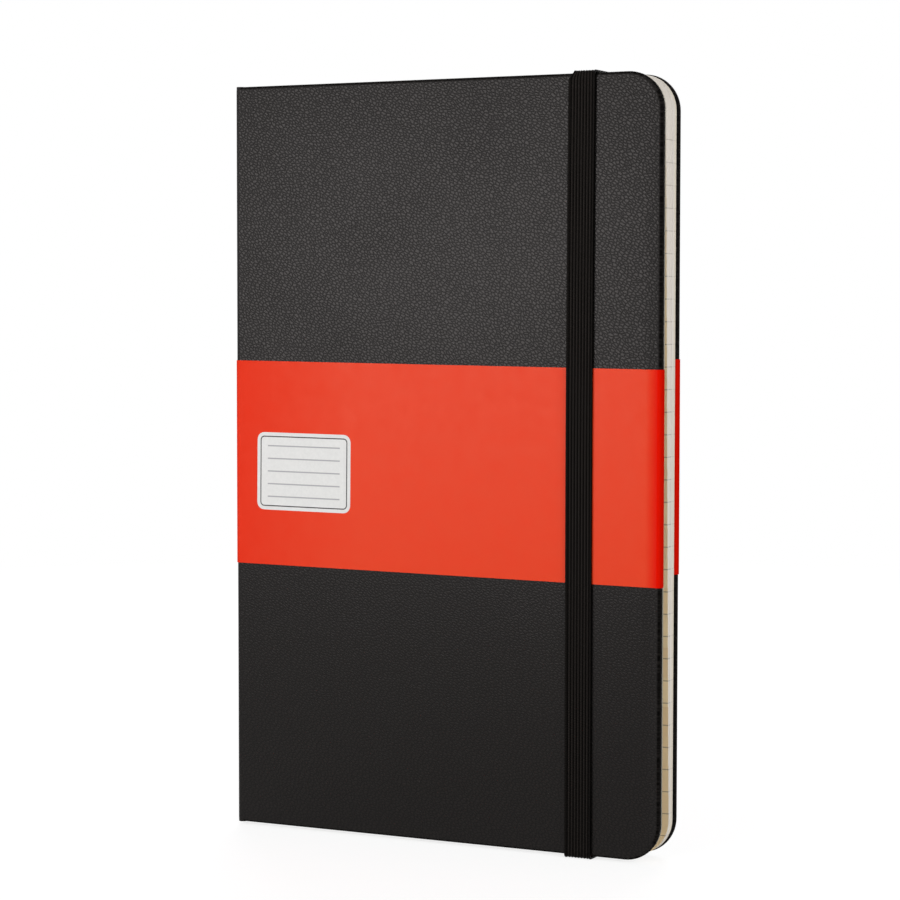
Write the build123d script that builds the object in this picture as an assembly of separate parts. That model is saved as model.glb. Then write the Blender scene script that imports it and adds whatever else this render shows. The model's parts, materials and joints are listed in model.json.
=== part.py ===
from build123d import *
import math
import os

# A cased-in, thread-sewn address book that stands on its tail. X runs from the spine to the fore-edge,
# Y from the front cover to the back cover, and Z up. Lengths are in millimetres, angles in degrees.

# Covers
cover_width = 130.0
cover_height = 210.0
cover_corner_radius = 10.0
board_thickness = 2.0
wrap_thickness = 0.3
turn_in_width = 12.0
hinge_lip = 2.0
board_clearance = 0.05
joint_clearance = 0.1

# Spine and sewing
spine_board_thickness = 1.3
lining_thickness = 0.3
thread_diameter = 0.5
thread_clearance = 0.03
thread_stations = 6
thread_margin = 15.0
fold_clearance = 0.25

# Leaves
page_square = 0.25
leaf_gap = 0.01
flyleaf_thickness = 0.12
section_thickness = 0.19
section_letters = list("abcdefghijklmnopqrstuvw") + ["xyz"]
notes_thickness = 0.405
notes_count = 6
index_margin = 9.0
tab_depth = 6.0
tab_corner_radius = 1.5
front_leaf_swing = 86.0
back_leaf_swing = 58.0

# Endpapers and ribbon marker
pastedown_thickness = 0.15
pastedown_margin = 2.5
pastedown_hinge_margin = 3.0
endpaper_clearance = 0.05
ribbon_width = 6.0
ribbon_thickness = 0.15
ribbon_fold_margin = 9.0
ribbon_drift = 12.0
ribbon_tail_margin = 24.0

# Pocket inside the back cover
pocket_panel_thickness = 0.3
pocket_mouth_margin = 12.0
pocket_end_margin = 6.0
pocket_corner_radius = 3.0
gusset_thickness = 0.2
gusset_width = 12.0
gusset_mouth_margin = 2.0
edge_strip_width = 3.6
edge_strip_gap = 0.4

# Paper band round the covers
band_height = 57.8
band_thickness = 0.2
band_flap = 14.0
band_rise = 73.6
band_skew = 0.53

# Elastic strap
strap_width = 8.1
strap_thickness = 0.8
strap_inset = 22.8
strap_bend_radius = 0.7
slot_inset = 9.0
slot_clearance = 0.1

# The stack of leaves, measured as depth from the front cover's outer face
cover_thickness = board_thickness + 2 * wrap_thickness
lining_depth = cover_thickness + pastedown_thickness
flap_depth = lining_depth + band_thickness
pocket_depth = pocket_panel_thickness + gusset_thickness

section_names = ["section_" + letters for letters in section_letters]
notes_names = ["notes_" + str(number + 1) for number in range(notes_count)]
leaf_names = ["front_flyleaf"] + section_names + notes_names + ["back_flyleaf"]
leaf_thickness = dict.fromkeys(section_names, section_thickness)
leaf_thickness.update(dict.fromkeys(notes_names, notes_thickness))
leaf_thickness.update(dict.fromkeys(["front_flyleaf", "back_flyleaf"], flyleaf_thickness))

leaf_depth = {}
stack_depth = flap_depth + endpaper_clearance
for name in leaf_names:
    if name == notes_names[0]:
        stack_depth += ribbon_thickness + leaf_gap
    leaf_depth[name] = stack_depth + leaf_thickness[name] / 2
    stack_depth += leaf_thickness[name] + leaf_gap
stack_depth += endpaper_clearance - leaf_gap
book_thickness = stack_depth + pocket_depth + lining_depth

# Where the faces and hinge lines stand, with the origin under the middle of the closed book
spine_x = -cover_width / 2
fore_x = cover_width / 2
tail_z = strap_thickness
head_z = tail_z + cover_height
front_y = (band_thickness - book_thickness) / 2
back_y = front_y + book_thickness

bead_radius = cover_thickness / 2
joint_radius = bead_radius + band_thickness + joint_clearance
hinge_x = spine_x + bead_radius
front_hinge_y = front_y + bead_radius
back_hinge_y = back_y - bead_radius
cavity_x = hinge_x + joint_radius + wrap_thickness

page_fore_x = fore_x - page_square
page_tail_z = tail_z + page_square
page_head_z = head_z - page_square
page_height = page_head_z - page_tail_z
tab_height = (cover_height - 2 * index_margin) / len(section_names)

spine_board_x = spine_x + wrap_thickness
lining_x = spine_board_x + spine_board_thickness
sewn_x = lining_x + lining_thickness

strap_x = fore_x - strap_inset
pocket_fold_x = fore_x - band_flap - edge_strip_width - edge_strip_gap
pocket_mouth_x = hinge_x + pocket_mouth_margin


def slab(x0, x1, y0, y1, z0, z1):
    lengths = (abs(x1 - x0), abs(y1 - y0), abs(z1 - z0))
    return Pos((x0 + x1) / 2, (y0 + y1) / 2, (z0 + z1) / 2) * Box(*lengths)


def rect(x0, x1, z0, z1):
    return Pos((x0 + x1) / 2, (z0 + z1) / 2) * Rectangle(x1 - x0, z1 - z0)


def plate(outline, y0, y1):
    near, far = sorted((y0, y1))
    return extrude(Plane.XZ.offset(-far) * outline, amount=far - near)


def sheet_outline(x0, inset):
    # A sheet with rounded corners at the fore-edge, parallel to the cover's edges
    outline = rect(x0, fore_x - inset, tail_z + inset, head_z - inset)
    corners = outline.vertices().group_by(Axis.X)[-1]
    return fillet(corners, cover_corner_radius - inset)


def fold_pivots():
    # Neighbours step along X by the amount that keeps them apart while both turn with the opening book
    swing_step = (front_leaf_swing + back_leaf_swing) / (len(leaf_names) - 1)
    swings = [front_leaf_swing - swing_step * order for order in range(len(leaf_names))]
    x = hinge_x + flap_depth - bead_radius + flyleaf_thickness / 2 + joint_clearance
    pivots = {leaf_names[0]: (x, front_y + leaf_depth[leaf_names[0]])}
    for order, name in enumerate(leaf_names[1:]):
        before = leaf_names[order]
        apart = (leaf_thickness[before] + leaf_thickness[name]) / 2
        swing = swings[order] if swings[order] + swings[order + 1] > 0 else swings[order + 1]
        x += apart * math.tan(math.radians(swing) / 2)
        pivots[name] = (x, front_y + leaf_depth[name])
    return pivots


def folded_sheet(outline, pivot, far_x, thickness):
    # A flat sheet that ends in a round fold on its pivot line
    x, y = pivot
    half = thickness / 2
    round_x = x - math.copysign(half, far_x - x)
    sides = Polyline((x, y - half), (far_x, y - half), (far_x, y + half), (x, y + half))
    fold = ThreePointArc((x, y + half), (round_x, y), (x, y - half))
    bar = extrude(make_face(sides.edges() + [fold.edge()]), amount=head_z)
    return bar & plate(outline, y - thickness, y + thickness)


def section_outline(order):
    # Below its own tab a section is cut back, so that the tabs behind it show
    page = sheet_outline(spine_x, page_square)
    if order == len(section_names) - 1:
        return page
    step_z = head_z - index_margin - (order + 1) * tab_height
    step = rect(page_fore_x - tab_depth, fore_x, tail_z, step_z)
    inner_corner = step.vertices().group_by(Axis.X)[0].sort_by(Axis.Y)[-1]
    return page - fillet(inner_corner, tab_corner_radius)


def make_cover(outer_y, inward):
    # A board with a raised field between the turn-ins of its wrap, and the pastedown over both
    def layer(outline, near, far):
        return plate(outline, outer_y + inward * near, outer_y + inward * far)

    def field(clearance):
        inset = turn_in_width + clearance
        x0 = cavity_x + hinge_lip + clearance
        return rect(x0, fore_x - inset, tail_z + inset, head_z - inset)

    inner = cover_thickness - wrap_thickness
    body = layer(sheet_outline(hinge_x, 0), 0, cover_thickness)
    cavity = layer(sheet_outline(cavity_x, wrap_thickness), wrap_thickness, inner)
    window = layer(field(0), inner, cover_thickness)
    hinge = Pos(hinge_x, outer_y + inward * bead_radius, (tail_z + head_z) / 2)
    wrap = body - hinge * Cylinder(joint_radius, cover_height) - cavity - window

    board_outline = sheet_outline(cavity_x + board_clearance, wrap_thickness + board_clearance)
    board = layer(board_outline, wrap_thickness, inner)
    board += layer(field(board_clearance), inner, cover_thickness)
    pastedown_outline = sheet_outline(hinge_x + pastedown_hinge_margin, pastedown_margin)
    pastedown = layer(pastedown_outline, cover_thickness, lining_depth)
    return wrap, board, pastedown


def band_edge(unrolled):
    # Height of the band's lower edge at a distance along the paper from the front fore-edge
    return tail_z + band_rise + unrolled * math.tan(math.radians(band_skew))


def band_strip(x0, z0, x1, z1):
    corners = [(x0, z0), (x1, z1), (x1, z1 + band_height), (x0, z0 + band_height)]
    return make_face(Polyline(*corners, close=True))


def make_band_cover(outer_y, inward, unrolled_fore, unrolled_spine):
    # Outer panel, fold round the fore-edge, and flap tucked in against the pastedown
    def layer(outline, near, far):
        return plate(outline, outer_y + inward * near, outer_y + inward * far)

    fold_x = fore_x + band_thickness
    away = math.copysign(band_flap, unrolled_fore - unrolled_spine)
    fore_z = band_edge(unrolled_fore)
    panel = band_strip(hinge_x + joint_radius, band_edge(unrolled_spine), fold_x, fore_z)
    fold = rect(fore_x, fold_x, fore_z, fore_z + band_height)
    flap = band_strip(fore_x - band_flap, band_edge(unrolled_fore + away), fold_x, fore_z)
    band = layer(panel, -band_thickness, 0)
    band += layer(fold, -band_thickness, flap_depth)
    return band + layer(flap, lining_depth, flap_depth)


def make_spine_wrap():
    # Flat sheet between the two round corner beads, closed over the spine board at head and tail
    beads = Pos(hinge_x, front_hinge_y) * Circle(bead_radius) + Pos(hinge_x, back_hinge_y) * Circle(bead_radius)
    sheet = rect(spine_x, spine_board_x, front_hinge_y, back_hinge_y)
    wrap = extrude(Pos(0, 0, tail_z) * (beads + sheet), amount=cover_height)
    for z in (tail_z, head_z - wrap_thickness):
        wrap += slab(spine_x, lining_x, front_hinge_y, back_hinge_y, z, z + wrap_thickness)
    return wrap


def make_band_spine():
    # One sheet laid over the spine and round both beads
    def corner(hinge_y, side, radius):
        diagonal = radius * math.sqrt(0.5)
        middle = (hinge_x - diagonal, hinge_y + side * diagonal)
        return ThreePointArc((hinge_x, hinge_y + side * radius), middle, (hinge_x - radius, hinge_y))

    outer_radius = bead_radius + band_thickness
    edges = []
    for radius in (bead_radius, outer_radius):
        edges.append(corner(front_hinge_y, -1, radius).edge())
        edges.append(Line((hinge_x - radius, front_hinge_y), (hinge_x - radius, back_hinge_y)).edge())
        edges.append(corner(back_hinge_y, 1, radius).edge())
    edges.append(Line((hinge_x, front_y), (hinge_x, front_y - band_thickness)).edge())
    edges.append(Line((hinge_x, back_y), (hinge_x, back_y + band_thickness)).edge())
    lower = band_edge(cover_width + book_thickness / 2)
    return extrude(Pos(0, 0, lower) * make_face(edges), amount=band_height)


def make_sewing(pivots):
    # The folds' glued back follows the arch of the pivots, and the thread lies in grooves across it
    block_front_y = front_y + leaf_depth["front_flyleaf"] - flyleaf_thickness / 2
    block_back_y = front_y + leaf_depth["back_flyleaf"] + flyleaf_thickness / 2
    behind = fold_clearance + max(leaf_thickness.values()) / 2
    arch_x = max(x for x, y in pivots.values())
    arch_y = next(y for x, y in pivots.values() if x == arch_x)
    front_corner = (pivots["front_flyleaf"][0] - behind, block_front_y)
    back_corner = (pivots["back_flyleaf"][0] - behind, block_back_y)
    arch = ThreePointArc(front_corner, (arch_x - behind, arch_y), back_corner)
    rest = Polyline(back_corner, (sewn_x, block_back_y), (sewn_x, block_front_y), front_corner)
    folds = extrude(Pos(0, 0, page_tail_z) * make_face(rest.edges() + [arch.edge()]), amount=page_height)
    lining = slab(lining_x, sewn_x, block_front_y, block_back_y, page_tail_z, page_head_z)

    groove = thread_diameter + 2 * thread_clearance
    thread_x = sewn_x + groove / 2
    thread_length = block_back_y - block_front_y
    pitch = (page_height - 2 * thread_margin) / (thread_stations - 1)
    threads = []
    for station in range(thread_stations):
        z = page_tail_z + thread_margin + station * pitch
        folds -= slab(sewn_x, sewn_x + groove, block_front_y, block_back_y, z - groove / 2, z + groove / 2)
        place = Pos(thread_x, (block_front_y + block_back_y) / 2, z) * Rot(90, 0, 0)
        threads.append(place * Cylinder(thread_diameter / 2, thread_length))
    return folds, lining, Compound(threads)


def make_pocket():
    # Card panel folded at the fore-edge side, cloth gussets under its head and tail, pasted edge strip
    def layer(outline, near, far):
        return plate(outline, back_y - near, back_y - far)

    gusset_depth = lining_depth + gusset_thickness
    low_z = tail_z + pocket_end_margin
    high_z = head_z - pocket_end_margin
    fold_y = back_y - gusset_depth - pocket_panel_thickness / 2
    outline = rect(pocket_mouth_x, fore_x, low_z, high_z)
    mouth_corners = outline.vertices().group_by(Axis.X)[0]
    outline = fillet(mouth_corners, pocket_corner_radius)
    panel = folded_sheet(outline, (pocket_fold_x, fold_y), spine_x, pocket_panel_thickness)

    gusset_x = pocket_mouth_x + gusset_mouth_margin
    gussets = []
    for z in (high_z - gusset_width, low_z):
        gusset = rect(gusset_x, pocket_fold_x, z, z + gusset_width)
        gussets.append(layer(gusset, lining_depth, gusset_depth))
    strip_x = pocket_fold_x + edge_strip_gap
    strip = layer(rect(strip_x, strip_x + edge_strip_width, low_z, high_z), lining_depth, gusset_depth)
    return panel, gussets, strip


def make_ribbon():
    # A flat ribbon that drifts from the folds at the head to a slanted end above the tail
    top_x = hinge_x + ribbon_fold_margin
    end_z = page_tail_z + ribbon_tail_margin
    end_x = top_x + ribbon_drift
    corners = [(top_x, page_head_z), (end_x, end_z + ribbon_width)]
    corners += [(end_x + ribbon_width, end_z), (top_x + ribbon_width, page_head_z)]
    lies_on = front_y + leaf_depth[notes_names[0]] - notes_thickness / 2
    return plate(make_face(Polyline(*corners, close=True)), lies_on - ribbon_thickness, lies_on)


def make_strap():
    # The free run of the strap: over the head, down the front over the band, and under the tail
    outer_y = front_y - band_thickness - strap_thickness
    inner_y = outer_y + strap_thickness
    top_z = head_z + strap_thickness
    bottom_z = tail_z - strap_thickness
    run = [(back_y, bottom_z), (outer_y, bottom_z), (outer_y, top_z), (back_y, top_z)]
    run += [(back_y, head_z), (inner_y, head_z), (inner_y, tail_z), (back_y, tail_z)]
    profile = make_face(Polyline(*run, close=True))
    bends = profile.vertices().group_by(Axis.X)[0]
    profile = fillet(bends, strap_bend_radius)
    return extrude(Plane.YZ.offset(strap_x - strap_width / 2) * profile, amount=strap_width)


def make_strap_end(edge_z, outward):
    # The fixed end: down the back cover's outer face and in through its slot
    half_width = strap_width / 2
    half_thickness = strap_thickness / 2
    slot_z = edge_z - outward * slot_inset
    x0 = strap_x - half_width
    x1 = strap_x + half_width
    run_z = (slot_z - outward * half_thickness, edge_z + outward * strap_thickness)
    end = slab(x0, x1, back_y, back_y + strap_thickness, *run_z)
    end += slab(x0, x1, back_y - cover_thickness, back_y, slot_z - half_thickness, slot_z + half_thickness)
    gap = half_thickness + slot_clearance
    wide = half_width + slot_clearance
    slot = slab(strap_x - wide, strap_x + wide, back_y - cover_thickness, back_y, slot_z - gap, slot_z + gap)
    return end, slot


pivots = fold_pivots()
parts = {}

parts["front_wrap"], parts["front_board"], parts["front_pastedown"] = make_cover(front_y, 1)
parts["back_wrap"], parts["back_board"], parts["back_pastedown"] = make_cover(back_y, -1)
for end_name, edge_z, outward in (("head", head_z, 1), ("tail", tail_z, -1)):
    parts["strap_end_" + end_name], slot = make_strap_end(edge_z, outward)
    parts["back_wrap"] -= slot
    parts["back_board"] -= slot
parts["elastic_strap"] = make_strap()

unrolled_back = cover_width + book_thickness
parts["band_front"] = make_band_cover(front_y, 1, 0, cover_width)
parts["band_back"] = make_band_cover(back_y, -1, unrolled_back + cover_width, unrolled_back)
parts["band_spine"] = make_band_spine()

parts["spine_wrap"] = make_spine_wrap()
parts["spine_board"] = slab(
    spine_board_x,
    lining_x,
    front_hinge_y + bead_radius + board_clearance,
    back_hinge_y - bead_radius - board_clearance,
    tail_z + wrap_thickness,
    head_z - wrap_thickness,
)
parts["sewn_back"], parts["spine_lining"], parts["binding_thread"] = make_sewing(pivots)

for name in leaf_names:
    outline = sheet_outline(spine_x, page_square)
    if name in section_names:
        outline = section_outline(section_names.index(name))
    parts[name] = folded_sheet(outline, pivots[name], fore_x, leaf_thickness[name])
parts["ribbon_marker"] = make_ribbon()

parts["pocket_panel"], gussets, parts["pocket_edge_strip"] = make_pocket()
parts["pocket_gusset_head"], parts["pocket_gusset_tail"] = gussets

os.makedirs("parts", exist_ok=True)
for name, part in parts.items():
    export_step(part, "parts/" + name + ".step")
print(len(parts), "pieces, closed book", round(book_thickness, 3), "mm thick")
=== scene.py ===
import json
import math
import bmesh
import bpy
from mathutils import Euler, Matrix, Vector


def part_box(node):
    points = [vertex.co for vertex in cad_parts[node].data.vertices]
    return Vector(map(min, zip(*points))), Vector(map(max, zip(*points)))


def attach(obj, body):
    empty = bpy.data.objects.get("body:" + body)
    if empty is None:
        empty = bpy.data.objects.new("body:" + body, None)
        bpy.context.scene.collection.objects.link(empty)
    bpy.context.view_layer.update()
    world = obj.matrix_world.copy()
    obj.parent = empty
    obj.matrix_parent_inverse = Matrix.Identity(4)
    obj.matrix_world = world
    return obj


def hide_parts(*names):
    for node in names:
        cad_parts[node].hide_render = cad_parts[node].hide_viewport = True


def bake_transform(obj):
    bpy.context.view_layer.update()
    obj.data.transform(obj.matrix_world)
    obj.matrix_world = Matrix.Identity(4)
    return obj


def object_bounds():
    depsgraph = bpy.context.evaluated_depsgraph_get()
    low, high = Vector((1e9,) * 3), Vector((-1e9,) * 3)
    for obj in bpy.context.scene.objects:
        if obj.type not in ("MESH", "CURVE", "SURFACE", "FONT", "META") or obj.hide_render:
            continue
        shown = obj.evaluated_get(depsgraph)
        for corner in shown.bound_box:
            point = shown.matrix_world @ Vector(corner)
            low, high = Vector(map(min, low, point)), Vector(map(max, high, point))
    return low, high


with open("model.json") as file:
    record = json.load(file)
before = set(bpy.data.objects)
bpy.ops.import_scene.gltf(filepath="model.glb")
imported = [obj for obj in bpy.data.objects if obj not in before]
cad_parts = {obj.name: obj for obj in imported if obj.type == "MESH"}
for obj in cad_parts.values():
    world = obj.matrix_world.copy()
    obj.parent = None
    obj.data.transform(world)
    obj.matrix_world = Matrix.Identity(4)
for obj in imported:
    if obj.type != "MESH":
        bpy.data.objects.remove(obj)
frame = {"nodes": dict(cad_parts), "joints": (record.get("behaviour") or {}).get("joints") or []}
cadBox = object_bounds()
nodes = frame["nodes"]
print("frame loaded with", len(nodes), "nodes")

# places that several pieces share, all read from the frame
frontLow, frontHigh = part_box("front_wrap")
jointPlace = {j["name"]: Vector(j["pos_m"]) for j in frame["joints"] if "pos_m" in j}
frontHinge = jointPlace["front_cover_hinge"]
backHinge = jointPlace["book_opening"]
foreX = frontHigh.x
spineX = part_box("spine_wrap")[0].x
tailZ = frontLow.z
headZ = frontHigh.z
frontY = frontLow.y
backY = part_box("back_wrap")[1].y
coverThick = frontHigh.y - frontLow.y
beadRadius = coverThick / 2
coverWidth = foreX - spineX
bookThick = backY - frontY
strapLow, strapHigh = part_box("elastic_strap")
strapThick = strapHigh.z - headZ
sections = sorted((n for n in nodes if n.startswith("section_")), key=lambda n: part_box(n)[0].y)
mm = 0.001


def leaveEdit():
    if bpy.context.object and bpy.context.object.mode != "OBJECT":
        bpy.ops.object.mode_set(mode="OBJECT")


def deselectAll():
    leaveEdit()
    bpy.ops.object.select_all(action="DESELECT")


def makeActive(obj):
    deselectAll()
    obj.select_set(True)
    bpy.context.view_layer.objects.active = obj


def enterEdit(obj):
    makeActive(obj)
    bpy.ops.object.mode_set(mode="EDIT")


def applyPlace():
    bpy.ops.object.transform_apply(location=True, rotation=True, scale=True)


# in edit mode, turns every face outwards
def faceOutwards():
    bpy.ops.mesh.select_all(action="SELECT")
    bpy.ops.mesh.normals_make_consistent(inside=False)


# in edit mode, selects only the verts, edges or faces that pass the test
def pick(kind, test):
    bpy.ops.mesh.select_mode(type={"verts": "VERT", "edges": "EDGE", "faces": "FACE"}[kind])
    bpy.ops.mesh.select_all(action="DESELECT")
    mesh = bpy.context.object.data
    work = bmesh.from_edit_mesh(mesh)
    work.normal_update()
    for item in getattr(work, kind):
        if test(item):
            item.select_set(True)
    work.select_flush_mode()
    bmesh.update_edit_mesh(mesh)


sharpAngle = math.radians(50)


def sharpEdge(edge):
    return len(edge.link_faces) == 2 and edge.calc_face_angle() > sharpAngle


def bevelEdges(offset, steps, clamp=False):
    bpy.ops.mesh.bevel(offset=offset, segments=steps, affect="EDGES", clamp_overlap=clamp)


def applyModifier(obj, kind, **settings):
    makeActive(obj)
    modifier = obj.modifiers.new(kind.lower(), kind)
    for key, value in settings.items():
        setattr(modifier, key, value)
    bpy.ops.object.modifier_apply(modifier=modifier.name)


def smoothShade(obj, degrees=35):
    makeActive(obj)
    bpy.ops.object.shade_smooth_by_angle(angle=math.radians(degrees))


# a plane that stands in XZ, from corner to corner
def standingPlane(name, x0, x1, z0, z1, y):
    deselectAll()
    middle = ((x0 + x1) / 2, y, (z0 + z1) / 2)
    bpy.ops.mesh.primitive_plane_add(size=1, location=middle, rotation=(math.pi / 2, 0, 0))
    obj = bpy.context.object
    obj.name = obj.data.name = name
    obj.scale = (x1 - x0, z1 - z0, 1)
    applyPlace()
    return obj


def standingBox(name, low, high):
    deselectAll()
    bpy.ops.mesh.primitive_cube_add(size=1, location=(Vector(low) + Vector(high)) / 2)
    obj = bpy.context.object
    obj.name = obj.data.name = name
    obj.scale = Vector(high) - Vector(low)
    applyPlace()
    return obj


def combine(obj, other, how):
    applyModifier(obj, "BOOLEAN", operation=how, object=other, solver="EXACT")
    bpy.data.objects.remove(other)


def dress(obj, *materials):
    obj.data.materials.clear()
    for material in materials:
        obj.data.materials.append(material)


# node helpers: a socket as value becomes a link, anything else a setting on the socket
def addNode(tree, kind, sockets=None, **settings):
    made = tree.nodes.new("ShaderNode" + kind)
    for key, value in settings.items():
        setattr(made, key, value)
    for key, value in (sockets or {}).items():
        if isinstance(value, bpy.types.NodeSocket):
            tree.links.new(value, made.inputs[key])
        else:
            made.inputs[key].default_value = value
    return made


def newMaterial(name, **shader):
    material = bpy.data.materials.new(name)
    material.use_nodes = True
    tree = material.node_tree
    bsdf = tree.nodes["Principled BSDF"]
    for key, value in shader.items():
        bsdf.inputs[key].default_value = value
    return material, tree, bsdf


def mathNode(tree, operation, first, second=0.0, third=0.0):
    return addNode(tree, "Math", {0: first, 1: second, 2: third}, operation=operation).outputs[0]


def mapTo(tree, value, fromMin, fromMax, toMin, toMax):
    sockets = {"Value": value, "From Min": fromMin, "From Max": fromMax, "To Min": toMin, "To Max": toMax}
    return addNode(tree, "MapRange", sockets).outputs[0]


def mixColours(tree, factor, first, second):
    return addNode(tree, "Mix", {0: factor, 6: first, 7: second}, data_type="RGBA").outputs[2]


def placeOn(tree):
    return addNode(tree, "TexCoord").outputs["Object"]


# how far a value is from the middle between two whole numbers
def fromHalf(tree, value):
    return mathNode(tree, "ABSOLUTE", mathNode(tree, "SUBTRACT", mathNode(tree, "FRACT", value), 0.5))


# nearly all noise lies in this range
noiseSpan = (0.3, 0.7)


def noiseOn(tree, where, scale, detail=2.0, distortion=0.0):
    sockets = {"Vector": where, "Scale": scale, "Detail": detail, "Distortion": distortion}
    return addNode(tree, "TexNoise", sockets).outputs["Fac"]


def stretched(tree, where, scale):
    return addNode(tree, "Mapping", {"Vector": where, "Scale": scale}).outputs[0]


def bumpOn(tree, bsdf, height, strength, distance):
    sockets = {"Height": height, "Strength": strength, "Distance": distance}
    tree.links.new(addNode(tree, "Bump", sockets).outputs[0], bsdf.inputs["Normal"])


# black grained leatherette of the covers and spine: low pebbles, drawn out along a slant, with painted
# shade in the creases between them
leatherLook = {
    "creaseShade": (0.0008, 0.0007, 0.0006, 1),
    "tops": (0.0105, 0.0092, 0.0084, 1),
    "sheenTint": (1.0, 0.94, 0.93, 1),
    "pebble": 0.88 * mm,
    "drawn": (1.42, 0.84, 1.0),
    "slant": math.radians(31),
    "scatter": 0.9,
    "wander": 0.3 * mm,
    "bendScale": 0.5,
    "rim": (0.02, 0.32),
    "wrinkleScale": 2.2,
    "wrinkleShare": 0.35,
    "grainHeight": 0.0225 * mm,
    "patchScale": 45.0,
    "patchRoughness": 0.02,
    "faceGloss": 0.119,
    "faceRoughness": (0.50, 0.205),
    "edgeGloss": 0.02,
    "edgeRoughness": (0.7, 0.6),
}


def makeLeatherette(name, look, part):
    shine = {"Specular IOR Level": look[part + "Gloss"], "Specular Tint": look["sheenTint"]}
    material, tree, skin = newMaterial(name, **shine)
    where = placeOn(tree)
    # the grain lies flat on both covers and carries on round the spine
    x, y, z = addNode(tree, "SeparateXYZ", {0: where}).outputs
    laid = addNode(tree, "CombineXYZ", {0: mathNode(tree, "SUBTRACT", x, y), 1: z}).outputs[0]
    bends = {"Vector": laid, "Scale": look["bendScale"] / look["pebble"]}
    bent = addNode(tree, "TexNoise", bends).outputs["Color"]
    strayed = {0: bent, 1: (look["wander"],) * 3, 2: laid}
    uneven = addNode(tree, "VectorMath", strayed, operation="MULTIPLY_ADD").outputs[0]
    turned = {"Vector": uneven, "Rotation": (0, 0, -look["slant"]), "Scale": look["drawn"]}
    slanted = addNode(tree, "Mapping", turned, vector_type="TEXTURE").outputs[0]
    packed = {"Vector": slanted, "Scale": 1 / look["pebble"], "Randomness": look["scatter"]}
    cells = addNode(tree, "TexVoronoi", packed, feature="DISTANCE_TO_EDGE", voronoi_dimensions="2D")
    pebbles = mapTo(tree, cells.outputs["Distance"], *look["rim"], 0.0, 1.0)
    wrinkles = noiseOn(tree, slanted, look["wrinkleScale"] / look["pebble"], distortion=0.3)
    height = mathNode(tree, "MULTIPLY_ADD", wrinkles, look["wrinkleShare"], pebbles)
    # painted shade: the creases between the pebbles take a near-black colour
    tree.links.new(mixColours(tree, pebbles, look["creaseShade"], look["tops"]), skin.inputs["Base Color"])
    dull = mapTo(tree, pebbles, 0.0, 1.0, *look[part + "Roughness"])
    clouds = noiseOn(tree, where, look["patchScale"])
    patches = mapTo(tree, clouds, *noiseSpan, -look["patchRoughness"], look["patchRoughness"])
    tree.links.new(mathNode(tree, "ADD", dull, patches), skin.inputs["Roughness"])
    bumpOn(tree, skin, height, 1.0, look["grainHeight"])
    return material


# the turned edges at the fore-edge, head and tail are duller than the faces
def dressLeather(obj):
    dress(obj, leatherette, leatherEdge)
    enterEdit(obj)
    pick("faces", lambda f: f.normal.x > 0.5 or abs(f.normal.z) > 0.5)
    obj.active_material_index = 1
    bpy.ops.object.material_slot_assign()
    leaveEdit()


# printed band: coated face, pale cut edge and pale back, with painted shade over the fore-edge fold and
# towards the spine
bandLook = {
    "ink": (0.645, 0.036, 0.0033, 1),
    "inkDeepAndShade": (0.62, 0.006, 0.001, 1),
    "core": (0.72, 0.60, 0.54, 1),
    # painted shade over the fore-edge fold
    "foldStart": foreX - 4.2 * mm,
    "foldEnd": foreX - 0.9 * mm,
    # painted shade in a ramp from the spine
    "spineShade": 0.45,
    "spineReach": 38.0 * mm,
    "faceGloss": 0.108,
    "foldGloss": 0.0,
    "faceRoughness": (0.32, 0.40),
    "creaseRoughness": 0.5,
    "mottleScale": 260.0,
    "mottleShare": 0.10,
    "waveScale": 55.0,
    "waveShare": 8.0,
    "fibreScale": 2600.0,
    "fibreHeight": 0.012 * mm,
    "bump": 0.25,
}


def makeBandInk(name, look, gloss):
    material, tree, paper = newMaterial(name, **{"Specular IOR Level": gloss})
    where = placeOn(tree)
    x = addNode(tree, "SeparateXYZ", {0: where}).outputs[0]
    # painted shade: the ink turns deeper and duller over the fore-edge fold
    fold = mapTo(tree, x, look["foldStart"], look["foldEnd"], 0.0, 1.0)
    # painted shade: a ramp from the spine deepens and dulls the ink, strongest at the spine
    bend = mapTo(tree, x, spineX, spineX + look["spineReach"], look["spineShade"], 0.0)
    paintedShade = mathNode(tree, "MAXIMUM", fold, bend)
    # the mottle also deepens the ink at random, toward the same deep colour as the painted shade
    mottle = noiseOn(tree, where, look["mottleScale"], 4.0)
    deeper = mapTo(tree, mottle, *noiseSpan, 0.0, look["mottleShare"])
    plain = mixColours(tree, deeper, look["ink"], look["inkDeepAndShade"])
    tree.links.new(mixColours(tree, paintedShade, plain, look["inkDeepAndShade"]), paper.inputs["Base Color"])
    faceDull = mapTo(tree, mottle, *noiseSpan, *look["faceRoughness"])
    dull = mathNode(tree, "MULTIPLY_ADD", paintedShade, look["creaseRoughness"], faceDull)
    tree.links.new(dull, paper.inputs["Roughness"])
    waves = noiseOn(tree, where, look["waveScale"], 1.0)
    fibres = noiseOn(tree, where, look["fibreScale"])
    height = mathNode(tree, "MULTIPLY_ADD", waves, look["waveShare"], fibres)
    bumpOn(tree, paper, height, look["bump"], look["fibreHeight"])
    return material


# plain uncoated stock, used for the band's back, boards, card, endpapers and flat inks
stockLook = {
    "gloss": 0.25,
    "fibreScale": 1500.0,
    "cloudScale": 90.0,
    "roughnessSpan": 0.08,
    "fibreHeight": 0.02 * mm,
    "bump": 0.3,
}


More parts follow.
